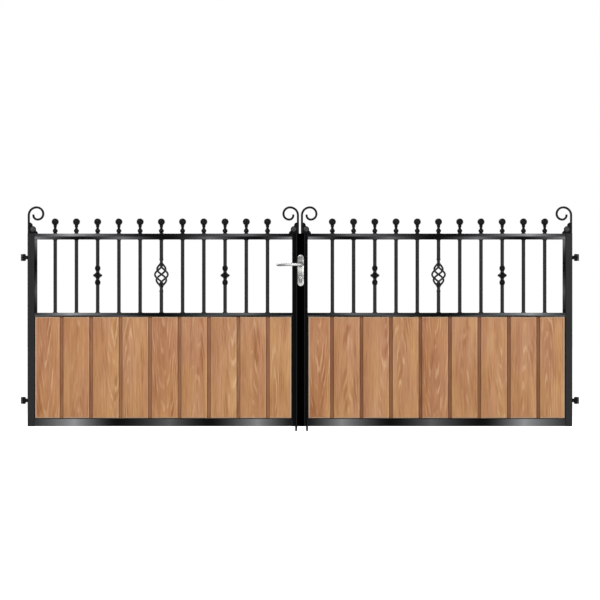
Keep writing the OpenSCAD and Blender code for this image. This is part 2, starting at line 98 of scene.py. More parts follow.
class Nodes:
    """A node tree, with short calls to add and link nodes."""

    def __init__(self, tree):
        self.tree = tree

    def add(self, kind, links=None, **values):
        """A new node with its properties set and its inputs linked, by name or by number."""
        node = self.tree.nodes.new("ShaderNode" + kind)
        for name, value in values.items():
            setattr(node, name, value)
        for name, source in (links or {}).items():
            self.link(source, node.inputs[name])
        return node

    def link(self, source, target):
        self.tree.links.new(source, target)

    def feed(self, socket, value):
        """Sets a socket to a number or colour, or links it."""
        if isinstance(value, tuple):
            socket.default_value = (*value, 1)
        elif isinstance(value, (int, float)):
            socket.default_value = value
        else:
            self.link(value, socket)

    def ramp(self, source, stops):
        """Colours by value, for stops of (place, colour)."""
        node = self.add("ValToRGB", {"Fac": source})
        elements = node.color_ramp.elements
        while len(elements) < len(stops):
            elements.new(0.5)
        for element, (place, colour) in zip(elements, stops):
            element.position = place
            element.color = (*colour, 1)
        return node.outputs["Color"]

    def spread(self, source, low, high, from_low, from_high):
        """Low to high as the source goes from from_low to from_high, held at both ends."""
        node = self.add("MapRange", {"Value": source}, clamp=True)
        set_inputs(node, {"From Min": from_low, "From Max": from_high, "To Min": low, "To Max": high})
        return node.outputs["Result"]

    def noise(self, vector, scale, detail, rough, distortion=0.0):
        node = self.add("TexNoise", {"Vector": vector})
        set_inputs(node, {"Scale": scale, "Detail": detail, "Roughness": rough, "Distortion": distortion})
        return node.outputs["Fac"]

    def stretched_noise(self, vector, scale, detail, rough, distortion=0.0):
        """Noise with a scale of its own along X, Y and Z."""
        mapping = self.add("Mapping", {"Vector": vector})
        set_inputs(mapping, {"Scale": scale})
        return self.noise(mapping.outputs["Vector"], 1.0, detail, rough, distortion)

    def maths(self, operation, a, b=None):
        node = self.add("Math", operation=operation)
        self.feed(node.inputs[0], a)
        if b is not None:
            self.feed(node.inputs[1], b)
        return node.outputs["Value"]

    def plus(self, a, b):
        return self.maths("ADD", a, b)

    def minus(self, a, b):
        return self.maths("SUBTRACT", a, b)

    def times(self, a, b):
        return self.maths("MULTIPLY", a, b)

    def largest(self, first, *others):
        for other in others:
            first = self.maths("MAXIMUM", first, other)
        return first

    def blend(self, share, a, b, mode="MIX"):
        node = self.add("Mix", data_type="RGBA", blend_type=mode)
        colours = [socket for socket in node.inputs if socket.type == "RGBA"]
        for socket, value in ((node.inputs["Factor"], share), (colours[0], a), (colours[1], b)):
            self.feed(socket, value)
        return [socket for socket in node.outputs if socket.type == "RGBA"][0]

    def tinted(self, colour, other, share=1.0):
        """A colour multiplied by another one."""
        return self.blend(share, colour, other, "MULTIPLY")

    def background_rays(self):
        """1 on the rays that show the background: from the camera, from gloss and through glass."""
        path = self.add("LightPath").outputs
        return self.largest(path["Is Camera Ray"], path["Is Glossy Ray"], path["Is Transmission Ray"])


class Shader(Nodes):
    """The nodes of a new material."""

    def __init__(self, name):
        self.material = bpy.data.materials.new(name)
        self.material.use_nodes = True
        super().__init__(self.material.node_tree)
        self.surface = self.tree.nodes["Principled BSDF"]
        self.out = self.tree.nodes["Material Output"]

    def place(self):
        return self.add("TexCoord").outputs["Object"]

    def axes(self):
        return self.add("SeparateXYZ", {"Vector": self.place()}).outputs

    def finish(self, colour, rough, relief, strength, depth, **plain):
        """Links colour, roughness and a bump of a relief, and sets what is the same all over."""
        bump = self.add("Bump", {"Height": relief})
        set_inputs(bump, {"Strength": strength, "Distance": depth})
        links = {"Base Color": colour, "Roughness": rough, "Normal": bump.outputs["Normal"]}
        for name, source in links.items():
            self.link(source, self.surface.inputs[name])
        set_inputs(self.surface, {name.replace("_", " "): value for name, value in plain.items()})
        return self.material


# Black powder coat

NEUTRAL = (1.0, 1.0, 1.0)
# Where a noise starts and ends to count in roughness
NOISE_SPAN = (0.3, 0.7)
PEEL_DEPTH = 0.0006
# The darkest tone in the painted highlight bands, and the exponent from a tone as the eye reads it to light
DARKEST = 0.03
EYE = 2.2
COOL = (0.98, 1.0, 1.04)


def painted(name, base, gloss=0.2, rough=(0.32, 0.44), peel=0.10):
    """Black powder coat on a shader whose colour is already worked out, with a fine orange peel."""
    s, colour = base
    s.material.name = name
    place = s.place()
    slow = s.noise(place, 3.2, 2.0, 0.5)
    speck = s.ramp(s.noise(place, 260.0, 3.0, 0.6), ((0.60, NEUTRAL), (0.78, (1.35, 1.35, 1.35))))
    return s.finish(s.tinted(colour, speck, 0.6), s.spread(slow, *rough, *NOISE_SPAN),
                    s.noise(place, 620.0, 2.0, 0.5), peel, PEEL_DEPTH, Specular_IOR_Level=gloss)


def even_black(low, high):
    """A black that drifts slowly between two depths."""
    s = Shader("paint")
    drift = s.noise(s.place(), 4.5, 2.0, 0.5)
    return s, s.ramp(drift, ((0.35, (low, low, low)), (0.68, (high, high, high))))


def painted_highlight_colour(s, tone):
    """Turns a painted highlight's tone as the eye reads it, 0 to 1, into a paint colour with a touch of blue.
    """
    light = s.maths("POWER", s.largest(tone, DARKEST), EYE)
    colour = s.add("CombineColor", {"Red": light, "Green": light, "Blue": light}).outputs["Color"]
    return s.tinted(colour, COOL)


def from_middle(s):
    """Distance along the gate from its middle, and height."""
    axes = s.axes()
    return s.maths("ABSOLUTE", s.minus(axes["X"], MIDDLE_X)), axes["Z"]


def wave(s, value, dark, half):
    """A triangle wave of value: 0 at dark, 1 half a wave on."""
    return s.maths("DIVIDE", s.maths("PINGPONG", s.minus(value, dark), half), half)


def slow_bend(s, along):
    """Shifts the painted highlight bands a little, so that they don't stand dead straight."""
    return s.plus(along, s.times(s.minus(s.noise(s.place(), 2.0, 2.0, 0.5), 0.5), 0.03))


def two_band_painted_highlights(low_z, high_z):
    """Painted highlights that come and go along the top and middle rails, in an upper and a lower band."""
    s = Shader("paint")
    along, height = from_middle(s)
    at = slow_bend(s, along)
    outer_end = s.spread(along, 1.0, 0.55, 1.27, 1.47)
    inner_end = s.spread(along, 0.35, 1.0, 0.04, 0.26)
    upper = s.times(s.times(wave(s, at, 0.78, 0.485), s.times(outer_end, inner_end)),
                    s.plus(s.times(along, 0.22), 0.29))
    lower = s.plus(s.times(wave(s, at, 0.25, 0.24), s.plus(s.times(along, 0.08), 0.33)),
                   s.spread(along, 0.19, 0.0, 0.05, 0.24))
    span = high_z - low_z
    share = s.spread(height, 0.0, 1.0, low_z + 0.40 * span, low_z + 0.62 * span)
    return s, painted_highlight_colour(s, s.plus(s.times(upper, share), s.times(lower, s.minus(1.0, share))))


# The bottom rail's painted highlights: distance from the gate's middle in metres, and tone there
BOTTOM_PAINTED_HIGHLIGHT_TONES = ((0.0, 0.0), (0.232, 0.52), (0.495, 0.02), (0.718, 0.35), (1.006, 0.02), (1.238, 0.58),
                (1.48, 0.18))


def one_band_painted_highlights():
    """Painted highlights on the bottom rail, which come and go three times on each leaf."""
    s = Shader("paint")
    reach = BOTTOM_PAINTED_HIGHLIGHT_TONES[-1][0]
    at = s.maths("DIVIDE", slow_bend(s, from_middle(s)[0]), reach)
    return s, painted_highlight_colour(s, s.ramp(at, [(far / reach, (tone, tone, tone)) for far, tone in BOTTOM_PAINTED_HIGHLIGHT_TONES]))


def strip_painted_highlight():
    """The strips beside the hinge stiles, with a painted highlight that fades to black and back down their
    length.
    """
    s = Shader("paint")
    height = from_middle(s)[1]
    strength = s.spread(height, 0.32, 0.46, 0.60, 0.86)
    return s, painted_highlight_colour(s, s.times(wave(s, height, 0.742, 0.145), strength))


def channel_painted_edge_highlights(low_x, high_x):
    """The slam channel: deepest on its flat face, with painted highlights that make its rounded edges a
    little lighter.
    """
    s = Shader("paint")
    off = s.maths("ABSOLUTE", s.minus(s.axes()["X"], (low_x + high_x) / 2))
    half = (high_x - low_x) / 2
    return s, painted_highlight_colour(s, s.spread(off, 0.03, 0.155, half - 0.0075, half - 0.0035))


# Timber: each noise's scale across, deep and along the boards, its detail, roughness and distortion
BROAD = ((16.0, 9.0, 2.2), 3.0, 0.55, 0.3)
WARMTH = ((11.0, 9.0, 2.6), 2.0, 0.5)
STREAK = ((150.0, 90.0, 3.2), 4.0, 0.6, 0.3)
PORES = ((430.0, 330.0, 11.0), 3.0, 0.6, 0.4)
WANDER = ((13.0, 7.0, 1.9), 3.0, 0.55)
SPOTS = ((58.0, 20.0, 6.5), 2.0, 0.5)
DUSK = ((26.0, 12.0, 3.4), 3.0, 0.55)
# The growth rings: how steeply they cross a board and rise, how many there are, and how far they wander
RING_ACROSS = 0.13
RING_RISE = 0.09
RING_COUNT = 610.0
RING_WANDER = 26.0
# Height at which the boards are neither pinker nor more golden, and how fast they turn
RIPE_Z = 0.32
RIPE_RATE = 0.35
# Stops of (place, colour): the wood's body, then colours that multiply it
BODY_STOPS = ((0.30, (0.428, 0.194, 0.092)), (0.50, (0.492, 0.241, 0.116)), (0.70, (0.555, 0.298, 0.146)))
RIPE_STOPS = ((0.34, (0.99, 0.985, 1.06)), (0.50, NEUTRAL), (0.66, (1.0, 1.005, 0.88)))
STREAK_STOPS = ((0.28, (0.81, 0.77, 0.73)), (0.50, NEUTRAL), (0.72, (1.12, 1.15, 1.16)))
PORE_STOPS = ((0.34, (0.86, 0.83, 0.80)), (0.50, (1.01, 1.01, 1.01)), (0.66, (1.08, 1.09, 1.09)))
TONE_STOPS = ((0.0, (0.90, 0.81, 0.72)), (0.5, (0.99, 0.99, 0.99)), (1.0, (1.08, 1.14, 1.05)))
# Painted shade over each board's left part and a painted highlight near its right edge
ACROSS_PAINTED_LIGHT_STOPS = ((0.0, (0.92, 0.89, 0.87)), (0.45, NEUTRAL), (0.93, (1.06, 1.08, 1.09)),
                (0.975, (1.18, 1.27, 1.36)))
# Painted shade in the grooves between boards: darkest at their walls
GROOVE_PAINTED_SHADE_STOPS = ((0.0, (0.33, 0.25, 0.23)), (0.30, (0.53, 0.45, 0.42)), (0.70, (0.53, 0.45, 0.42)),
                (1.0, (0.33, 0.25, 0.23)))
DUSKY = (0.72, 0.59, 0.48)
FLAME = (0.690, 0.445, 0.255)
# Painted highlight on the eased rim of the panel
RIM_PAINTED_HIGHLIGHT = (0.660, 0.480, 0.330)
# How far a groove reaches past a board's edge, as a share of the board's width
GROOVE_SHARE = 0.155


def timber():
    """Oiled softwood: soft grain along Z, pale and dark flames, and a tone of its own for each board, with
    painted shade in the grooves and painted light across each board and on the panel's rim.
    """
    s = Shader("timber")

    def kept(name):
        return s.add("Attribute", attribute_name=name, attribute_type="GEOMETRY").outputs

    def grain(noise):
        return s.stretched_noise(at, *noise)

    place = s.place()
    height = s.add("SeparateXYZ", {"Vector": place}).outputs["Z"]
    heart = s.add("SeparateXYZ", {"Vector": kept("board_heart")["Vector"]}).outputs
    across = kept("board_across")["Fac"]
    at = s.add("VectorMath", {0: place, 1: kept("board_shift")["Vector"]}, operation="ADD").outputs["Vector"]
    streak, pores = grain(STREAK), grain(PORES)

    sideways = s.minus(across, heart["X"])
    off = s.times(sideways, RING_ACROSS)
    rise = s.times(s.minus(height, heart["Z"]), RING_RISE)
    radius = s.maths("SQRT", s.plus(s.times(off, off), s.times(rise, rise)))
    rings = s.maths("SINE", s.plus(s.times(radius, RING_COUNT), s.times(grain(WANDER), RING_WANDER)))
    column = s.spread(s.minus(s.maths("ABSOLUTE", sideways), heart["Y"]), 1.0, 0.12, -0.06, 0.14)

    ripe = s.plus(grain(WARMTH), s.times(s.minus(RIPE_Z, height), RIPE_RATE))
    wood = s.tinted(s.ramp(grain(BROAD), BODY_STOPS), s.ramp(ripe, RIPE_STOPS))
    wood = s.tinted(wood, s.ramp(streak, STREAK_STOPS), 0.8)
    wood = s.tinted(wood, s.ramp(pores, PORE_STOPS))
    shade = s.plus(grain(DUSK), s.times(s.minus(streak, 0.5), 0.25))
    dark = s.times(s.spread(shade, 0.0, 1.0, 0.52, 0.68), s.spread(rings, 1.0, 0.35, -0.6, 0.6))
    wood = s.blend(dark, wood, s.tinted(wood, DUSKY))
    light = s.times(s.spread(rings, 0.0, 1.0, 0.25, 0.90), s.spread(grain(SPOTS), 0.0, 0.62, 0.44, 0.64))
    wood = s.blend(s.times(light, column), wood, FLAME)
    wood = s.tinted(wood, s.ramp(kept("board_tone")["Fac"], TONE_STOPS))
    # Painted shade over each board's left part and a painted highlight near its right edge
    wood = s.tinted(wood, s.ramp(across, ACROSS_PAINTED_LIGHT_STOPS))

    # Painted shade in the grooves, darkest at their walls
    beyond = s.minus(s.maths("ABSOLUTE", s.minus(across, 0.5)), 0.5)
    floor = s.ramp(s.spread(beyond, 0.0, 1.0, 0.0, GROOVE_SHARE), GROOVE_PAINTED_SHADE_STOPS)
    wood = s.blend(kept("board_groove_shade")["Fac"], wood, s.tinted(wood, floor))
    # Painted highlight on the eased rim of the panel
    wood = s.blend(s.times(kept("board_rim_highlight")["Fac"], 0.85), wood, RIM_PAINTED_HIGHLIGHT)
    relief = s.plus(s.times(streak, 0.6), s.times(pores, 0.4))
    return s.finish(wood, s.spread(streak, 0.62, 0.48, *NOISE_SPAN), relief, 0.16, 0.0010,
                    Specular_IOR_Level=0.3)


# Steel of the lock and screws


def brushed(s, tint, along, rough):
    """Finishes a shader as brushed steel, grained along the axis with the smallest scale."""
    place = s.place()
    grain = s.stretched_noise(place, tuple(900.0 * a for a in along), 4.0, 0.6)
    cloud = s.noise(place, 38.0, 2.0, 0.5)
    brush = s.ramp(grain, ((0.3, (0.80, 0.80, 0.80)), (0.7, (1.08, 1.08, 1.08))))
    wear = s.plus(s.times(grain, 0.6), s.times(cloud, 0.4))
    return s.finish(s.tinted(tint, brush, 0.7), s.spread(wear, *rough, *NOISE_SPAN), grain, 0.06, 0.0003,
                    Metallic=1.0)


def stainless(name, tint, rough):
    """Steel of one tint that clouds a little."""
    s = Shader(name)
    low = tuple(c * 0.82 for c in tint)
    cloudy = s.ramp(s.noise(s.place(), 55.0, 2.0, 0.5), ((0.35, low), (0.65, tint)))
    return brushed(s, cloudy, (1.0, 1.0, 1.0), rough)


def grey_stops(*stops):
    """Stops of (place, tone) as warm greys."""
    return [(place, (tone, tone, tone * 0.985)) for place, tone in stops]


def plate_steel_painted_reflections():
    """The handle plate: painted reflections that are dull above the lever, bright below it, and brightest on
    the right, with painted shade round the lever.
    """
    s = Shader("satin_steel_painted_reflections")
    low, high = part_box("handle_plate")
    axes = s.axes()
    sway = s.stretched_noise(s.place(), (60.0, 20.0, 14.0), 2.0, 0.5)
    up = s.plus(s.spread(axes["Z"], 0.0, 1.0, low.z, high.z), s.times(s.minus(sway, 0.5), 0.10))
    # Painted reflections and painted shade up the plate: dull above the lever, darkest round it, bright below
    # it
    painted_reflections = s.ramp(up, grey_stops((0.02, 0.60), (0.12, 0.44), (0.30, 0.26), (0.42, 0.42), (0.52, 0.74),
                                   (0.62, 0.66), (0.68, 0.20), (0.80, 0.34), (0.90, 0.20), (0.99, 0.46)))
    # Painted highlights across the plate, brightest along its right edge
    sides = s.ramp(s.spread(axes["X"], 0.0, 1.0, low.x, high.x),
                   grey_stops((0.04, 1.0), (0.20, 0.80), (0.48, 1.0), (0.68, 0.84), (0.88, 1.25)))
    return brushed(s, s.tinted(painted_reflections, sides), (1.0, 1.0, 0.03), (0.24, 0.38))


def lever_steel_painted_light():
    """The lever with painted light: a painted highlight on its upper side, painted shade below towards the
    tip, and a painted highlight beside its spindle.
    """
    s = Shader("lever_steel_painted_light")
    low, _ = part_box("lever_handle")
    axes = s.axes()
    inward = s.spread(axes["X"], 0.0, 1.0, low.x, low.x + 0.095)
    up = s.spread(axes["Z"], 0.0, 1.0, SPINDLE.z - 0.0115, SPINDLE.z + 0.0075)
    # Painted light: a painted highlight on the upper side and painted shade below
    tip = s.ramp(up, grey_stops((0.0, 0.30), (0.25, 0.10), (0.55, 0.17), (0.85, 0.46), (1.0, 0.52)))
    root = s.ramp(up, grey_stops((0.0, 0.10), (0.22, 0.26), (0.50, 0.58), (0.80, 0.40), (1.0, 0.30)))
    share = s.ramp(inward, ((0.25, (0.0, 0.0, 0.0)), (0.85, NEUTRAL)))
    return brushed(s, s.blend(share, tip, root), (0.03, 1.0, 1.0), (0.22, 0.34))


# The finishes
channel_low, channel_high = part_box("slam_channel")
BLACK = painted("black_steel", even_black(0.0070, 0.0115))
FINIAL_BLACK = painted("black_steel_finial", even_black(0.0018, 0.0040), 0.10, (0.18, 0.26))
SCROLL_BLACK = painted("black_steel_scroll", even_black(0.0020, 0.0042), 0.14, (0.30, 0.40))
FOOT_BLACK = painted("black_steel_foot", even_black(0.0012, 0.0028), 0.08, (0.32, 0.42))
# A lighter copy of the black paint: painted highlight on the raised lobes of the scrolls' feet
LOBE_PAINTED_HIGHLIGHT_BLACK = painted("black_steel_lobe_painted_highlight", even_black(0.026, 0.050), 0.25, (0.34, 0.44))
DEEP_BLACK = painted("black_steel_deep", even_black(0.0010, 0.0018), 0.04, (0.36, 0.46))
# Slam channel: painted highlights on its rounded edges
CHANNEL_PAINTED_EDGE_HIGHLIGHTS_BLACK = painted("black_steel_channel_painted_edge_highlights", channel_painted_edge_highlights(channel_low.x, channel_high.x), 0.0,
                        (0.40, 0.50), 0.05)
# Top and middle rails: copies of the black paint with painted highlights in their colour
TOP_PAINTED_HIGHLIGHTS_BLACK = painted("black_steel_top_painted_highlights", two_band_painted_highlights(rail_low.z, rail_high.z), 0.05)
MID_PAINTED_HIGHLIGHTS_BLACK = painted("black_steel_mid_painted_highlights", two_band_painted_highlights(mid_low.z - 0.012, mid_high.z), 0.05)
# Bottom rail: a copy of the black paint with painted highlights in its colour
BOTTOM_PAINTED_HIGHLIGHTS_BLACK = painted("black_steel_bottom_painted_highlights", one_band_painted_highlights(), 0.05)
# Strips beside the hinge stiles: a copy of the black paint with a painted highlight in its colour
STRIP_PAINTED_HIGHLIGHT_BLACK = painted("black_steel_strip_painted_highlight", strip_painted_highlight(), 0.05)
TIMBER = timber()
SATIN_PAINTED_REFLECTIONS = plate_steel_painted_reflections()
# A darker copy of the lock's steel: painted shade in the rings round the lever's boss and the key cylinder
PAINTED_SHADE_SATIN = stainless("steel_painted_shade", (0.13, 0.13, 0.13), (0.30, 0.42))
MID_SATIN = stainless("mid_steel", (0.27, 0.27, 0.265), (0.28, 0.38))
BRIGHT_SATIN = stainless("bright_steel", (0.52, 0.515, 0.51), (0.24, 0.34))
LEVER_SATIN_PAINTED_LIGHT = lever_steel_painted_light()
ZINC = stainless("zinc_steel", (0.42, 0.42, 0.41), (0.32, 0.46))


# Mesh helpers

# What a lathe's or screw's profile, drawn about Z, is turned by
UPRIGHT = Matrix.Identity(3)
FORWARD = Matrix(((1, 0, 0), (0, 0, 1), (0, 1, 0)))
POINT_R = 1e-7
BEAD_WOBBLE = 0.12
BEAD_SIDES = 8
BEAD_STEP = 0.004


def circle(count):
    """Angles once round."""
    return [2 * math.pi * k / count for k in range(count)]


def finish_piece(name, bm, body, material, replaced=(), smooth_angle=35.0):
    """Turns a bmesh into a piece that rides on a body."""
    bmesh.ops.recalc_face_normals(bm, faces=bm.faces)
    mesh = bpy.data.meshes.new(name)
    bm.to_mesh(mesh)
    bm.free()
    mesh.shade_smooth()
    mesh.set_sharp_from_angle(angle=math.radians(smooth_angle))
    mesh.materials.append(material)
    piece = bpy.data.objects.new(name, mesh)
    bpy.context.scene.collection.objects.link(piece)
    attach(piece, body)
    if replaced:
        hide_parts(*replaced)
    return piece


def leaf_piece(leaf, name, bm, material, replaced=(), smooth_angle=35.0):
    """A piece of a leaf in the given material, which may replace nodes of the same leaf."""
    finish_piece(f"{leaf}_{name}", bm, leaf + "_leaf", material,
                 [f"{leaf}_{node}" for node in replaced], smooth_angle)


def add_grid(bm, rings, closed=False):
    """Joins rings of points, each a closed loop, into a tube with two ends, or into one without."""
    made = [[bm.verts.new(p) for p in ring] for ring in rings]
    pairs = list(zip(made, made[1:]))
    if closed:
        pairs.append((made[-1], made[0]))
    for a, b in pairs:
        for k in range(len(a)):
            n = (k + 1) % len(a)
            bm.faces.new((a[k], a[n], b[n], b[k]))
    if not closed:
        bm.faces.new(list(reversed(made[0])))
        bm.faces.new(made[-1])


def tube_ring(here, across, up, sides, radius=1.0):
    """Points round here: a circle where across and up are equally long, otherwise an ellipse."""
    return [here + radius * (math.cos(a) * across + math.sin(a) * up) for a in circle(sides)]


def along_path(path, i):
    """Direction of a path at one of its points."""
    return (path[min(i + 1, len(path) - 1)] - path[max(i - 1, 0)]).normalized()


def add_lathe(bm, profile, middle, segments, turn=UPRIGHT):
    """Turns a profile of (radius, height) pairs about an axis through middle; ends at radius 0 close."""
    def point(r, h, a):
        return Vector(middle) + turn @ Vector((r * math.cos(a), r * math.sin(a), h))

    loops = []
    for r, h in profile:
        angles = [0.0] if r < POINT_R else circle(segments)
        loops.append([bm.verts.new(point(r, h, a)) for a in angles])
    for a, b in zip(loops, loops[1:]):
        for k in range(segments):
            n = (k + 1) % segments
            if len(a) == 1:
                bm.faces.new((a[0], b[n], b[k]))
            elif len(b) == 1:
                bm.faces.new((a[k], a[n], b[0]))
            else:
                bm.faces.new((a[k], a[n], b[n], b[k]))
    for loop in (loops[0], loops[-1]):
        if len(loop) > 1:
            bm.faces.new(loop)


def add_box(bm, low, high, bevel):
    """A box from corner to corner with rounded edges."""
    corners = bmesh.ops.create_cube(bm, size=1.0)["verts"]
    size = Vector(high) - Vector(low)
    middle = (Vector(high) + Vector(low)) / 2
    for v in corners:
        v.co = v.co * size + middle
    edges = [edge for edge in bm.edges if edge.verts[0] in corners]
    bmesh.ops.bevel(bm, geom=edges, offset=bevel, segments=2, profile=0.5, affect="EDGES")


def nearest(ring, point):
    return min(range(len(ring)), key=lambda k: (ring[k] - point).length)


def add_bead(bm, path, radius, seed, closed=False):
    """A weld bead: a tube along a path whose radius ripples with each puddle."""
    rng = random.Random(seed)
    last = len(path) - 1
    rings = []
    for i, here in enumerate(path):
        before = path[i - 1] if closed or i else here
        after = path[(i + 1) % len(path)] if closed or i < last else here
        along = (after - before).normalized()
        side = along.orthogonal().normalized()
        r = radius * (1 + BEAD_WOBBLE * rng.uniform(-1, 1))
        if not closed and i in (0, last):
            r *= 0.45
        rings.append(tube_ring(here, side, along.cross(side), BEAD_SIDES, r))
    if closed:
        for before, ring in zip(rings, rings[1:]):
            best = nearest(ring, before[0])
            ring[:] = ring[best:] + ring[:best]
        best = nearest(rings[0], rings[-1][0])
        if best:
            rings.append(rings[0][best:] + rings[0][:best])
            closed = False
    add_grid(bm, rings, closed)


# Boards

BOARD_COUNT = 9
# Width of the first and last board's face, and of the grooves
FIRST_BOARD = 0.1355
LAST_BOARD = 0.1195
GROOVE = 0.020
TONGUE_T = 0.007
TONGUE_IN = 0.006
SLOT_PLAY = 0.0003
SLOT_MORE = 0.001
# Eased edges: at the panel's rim, beside a groove, and the row of points that holds the face flat
ARRIS = 0.0045
GROOVE_ARRIS = 0.0012
ARRIS_BEND = 0.3
FADE = 0.003
BOARD_ROWS = 8
NEAR = 1e-5
# Tone, where the figure's middle stands across the board, half its reach, and its height
RED_FLAMED = (0.22, 0.45, 0.50, 0.66)
PLAIN = (0.50, 0.54, 0.08, -0.25)
PALE = (0.64, 0.86, 0.16, 0.70)
GOLD_FLAMED = (0.66, 0.28, 0.20, 0.00)
BOARD_KINDS = (RED_FLAMED, PLAIN, PALE, GOLD_FLAMED, RED_FLAMED, PLAIN, PALE, PLAIN, GOLD_FLAMED)


def on_leaf(leaf, x):
    """A place counted on the left leaf, or the one that matches it on the right leaf, and back."""
    return x if leaf == "left" else mirror_x(x)


def board_layout(leaf):
    """Left edge and width of each board's face from the hinge side, counted on the left leaf."""
    low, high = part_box(leaf + "_boards")
    x, end = sorted((on_leaf(leaf, low.x), on_leaf(leaf, high.x)))
    grooves = (BOARD_COUNT - 1) * GROOVE
    middle = (end - x - FIRST_BOARD - LAST_BOARD - grooves) / (BOARD_COUNT - 2)
    layout = []
    for width in [FIRST_BOARD] + [middle] * (BOARD_COUNT - 2) + [LAST_BOARD]:
        layout.append((x, width))
        x += width + GROOVE
    return layout


def board_section(width, first, last, front, back):
    """Outline of a board in X and Y with its tongue, slot and eased edges, counted anticlockwise."""
    left = ARRIS if first else GROOVE_ARRIS
    right = ARRIS if last else GROOVE_ARRIS
    tongue_y = (front + back) / 2 - TONGUE_T / 2
    points = [(left, front)]
    if first:
        points.append((left + FADE, front))
    if last:
        points.append((width - right - FADE, front))
    points += [(width - right, front), (width - ARRIS_BEND * right, front + ARRIS_BEND * right),
               (width, front + right)]
    if not last:
        reach = width + GROOVE + TONGUE_IN
        points += [(width, tongue_y), (reach, tongue_y), (reach, tongue_y + TONGUE_T),
                   (width, tongue_y + TONGUE_T)]
    points += [(width, back), (0.0, back)]
    if not first:
        deep = TONGUE_IN + SLOT_MORE
        slot_low, slot_high = tongue_y - SLOT_PLAY, tongue_y + TONGUE_T + SLOT_PLAY
        points += [(0.0, slot_high), (deep, slot_high), (deep, slot_low), (0.0, slot_low)]
    points += [(0.0, front + left), (ARRIS_BEND * left, front + ARRIS_BEND * left)]
    return points


def set_values(piece, name, values):
    """Keeps a value, or a vector, of each point for the material to read."""
    points = len(piece.data.vertices)
    kind, field = ("FLOAT_VECTOR", "vector") if len(values) == 3 * points else ("FLOAT", "value")
    piece.data.attributes.new(name, kind, "POINT").data.foreach_set(field, values)


def mark_edges(piece, leaf, x, width, first, last):
    """Keeps where each point stands across its board, whether it is in a groove, which gets painted shade,
    and whether it is on the rim, which gets a painted highlight.
    """
    low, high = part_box(leaf + "_boards")
    middle_y = (low.y + high.y) / 2
    across, groove, rim_highlight = [], [], []
    for v in piece.data.vertices:
        local = (on_leaf(leaf, v.co.x) - x) / width
        ends = [v.co.z - low.z, high.z - v.co.z]
        if first:
            ends.append(local * width)
        if last:
            ends.append((1 - local) * width)
        across.append(local if leaf == "left" else 1 - local)
        groove.append(float(abs(v.co.y - middle_y) <= TONGUE_T / 2 + SLOT_PLAY + NEAR))
        rim_highlight.append(float(min(ends) < ARRIS + NEAR and v.co.y < low.y + ARRIS + NEAR))
    set_values(piece, "board_across", across)
    set_values(piece, "board_groove_shade", groove)
    set_values(piece, "board_rim_highlight", rim_highlight)


def make_boards(leaf, rng):
    low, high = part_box(leaf + "_boards")
    rows = [(low.z, ARRIS), (low.z + ARRIS, 0.0), (low.z + ARRIS + FADE, 0.0)]
    rows += [(low.z + (high.z - low.z) * k / BOARD_ROWS, 0.0) for k in range(1, BOARD_ROWS)]
    rows += [(high.z - ARRIS - FADE, 0.0), (high.z - ARRIS, 0.0), (high.z, ARRIS)]
    for i, (x, width) in enumerate(board_layout(leaf)):
        first, last = i == 0, i == BOARD_COUNT - 1
        section = board_section(width, first, last, low.y, high.y)
        rings = [[Vector((on_leaf(leaf, x + px), max(py, low.y + pushed), z)) for px, py in section]
                 for z, pushed in rows]
        bm = bmesh.new()
        add_grid(bm, rings)
        piece = finish_piece(f"{leaf}_board_{i + 1}", bm, leaf + "_leaf", TIMBER,
                             [leaf + "_boards"], 25.0)
        mark_edges(piece, leaf, x, width, first, last)
        tone, heart_x, reach, heart_z = BOARD_KINDS[i if leaf == "left" else BOARD_COUNT - 1 - i]
        shift = [rng.uniform(-4, 4), rng.uniform(-2, 2), rng.uniform(-9, 9)]
        heart = [heart_x + rng.uniform(-0.05, 0.05), reach, heart_z + rng.uniform(-0.04, 0.04)]
        points = len(piece.data.vertices)
        set_values(piece, "board_shift", shift * points)
        set_values(piece, "board_heart", heart * points)
        set_values(piece, "board_tone", [tone + rng.uniform(-0.06, 0.06)] * points)


# Round bars, with collars on two of them and a twisted basket on the middle one

BAR_R = 0.0100
BAR_COUNT = 11
BALL_R = 0.0395 / 2
COLLARED = (2, 8)
BASKET_BAR = 5
COLLAR_R = 0.0260
COLLAR_HALF = 0.0185
COLLAR_UP = 0.0042
BULB_R = 0.0155
BULB_HALF = 0.0145
BULB_UP = 0.0390

STRANDS = 4
STRAND_R = 0.0054
STRAND_SIDES = 14
STRAND_RINGS = 56
BASKET_HALF = 0.075
BASKET_POWER = 1.15
BASKET_TURN = math.radians(315)
BASKET_START = math.radians(12)
BASKET_UP = 0.0055
# Height of the rings above and below the basket, their radius, and the bar's between ring and basket
RING_UP = 0.088
RING_R = 0.0115
NECK_R = BAR_R - 0.0012
# The point of the bar inside the basket: radius, share of its cone's length, and what is rounded off there
CORE = ((0.0, 1.0, 0.0), (0.0022, 1.0, 0.0008), (0.0050, 0.66, 0.0), (0.0072, 0.30, 0.0))
UPPER_CONE = 0.020
LOWER_CONE = 0.036


def bar_places(leaf):
    """X of every bar of a leaf, worked out from the finials' row."""
    low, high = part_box(leaf + "_finials")
    first, last = low.x + BALL_R, high.x - BALL_R
    return [first + (last - first) * k / (BAR_COUNT - 1) for k in range(BAR_COUNT)]


def cone(t):
    """Fullness of a pointed collar from -1, its lower end, to 1."""
    return math.cos(math.pi * t / 2) ** 2.1


def bulb(t):
    return 1 - abs(t) ** 2.6


def add_collar(bm, x, z, reach, half, fullness):
    """A turned swelling round a bar."""
    inside = BAR_R - 0.0004
    steps = [k / 10 for k in range(-10, 11)]
    body = [(inside + (reach - inside) * fullness(t), half * t) for t in steps]
    add_lathe(bm, [(0.0, -half)] + body + [(0.0, half)], (x, 0, z), 40)


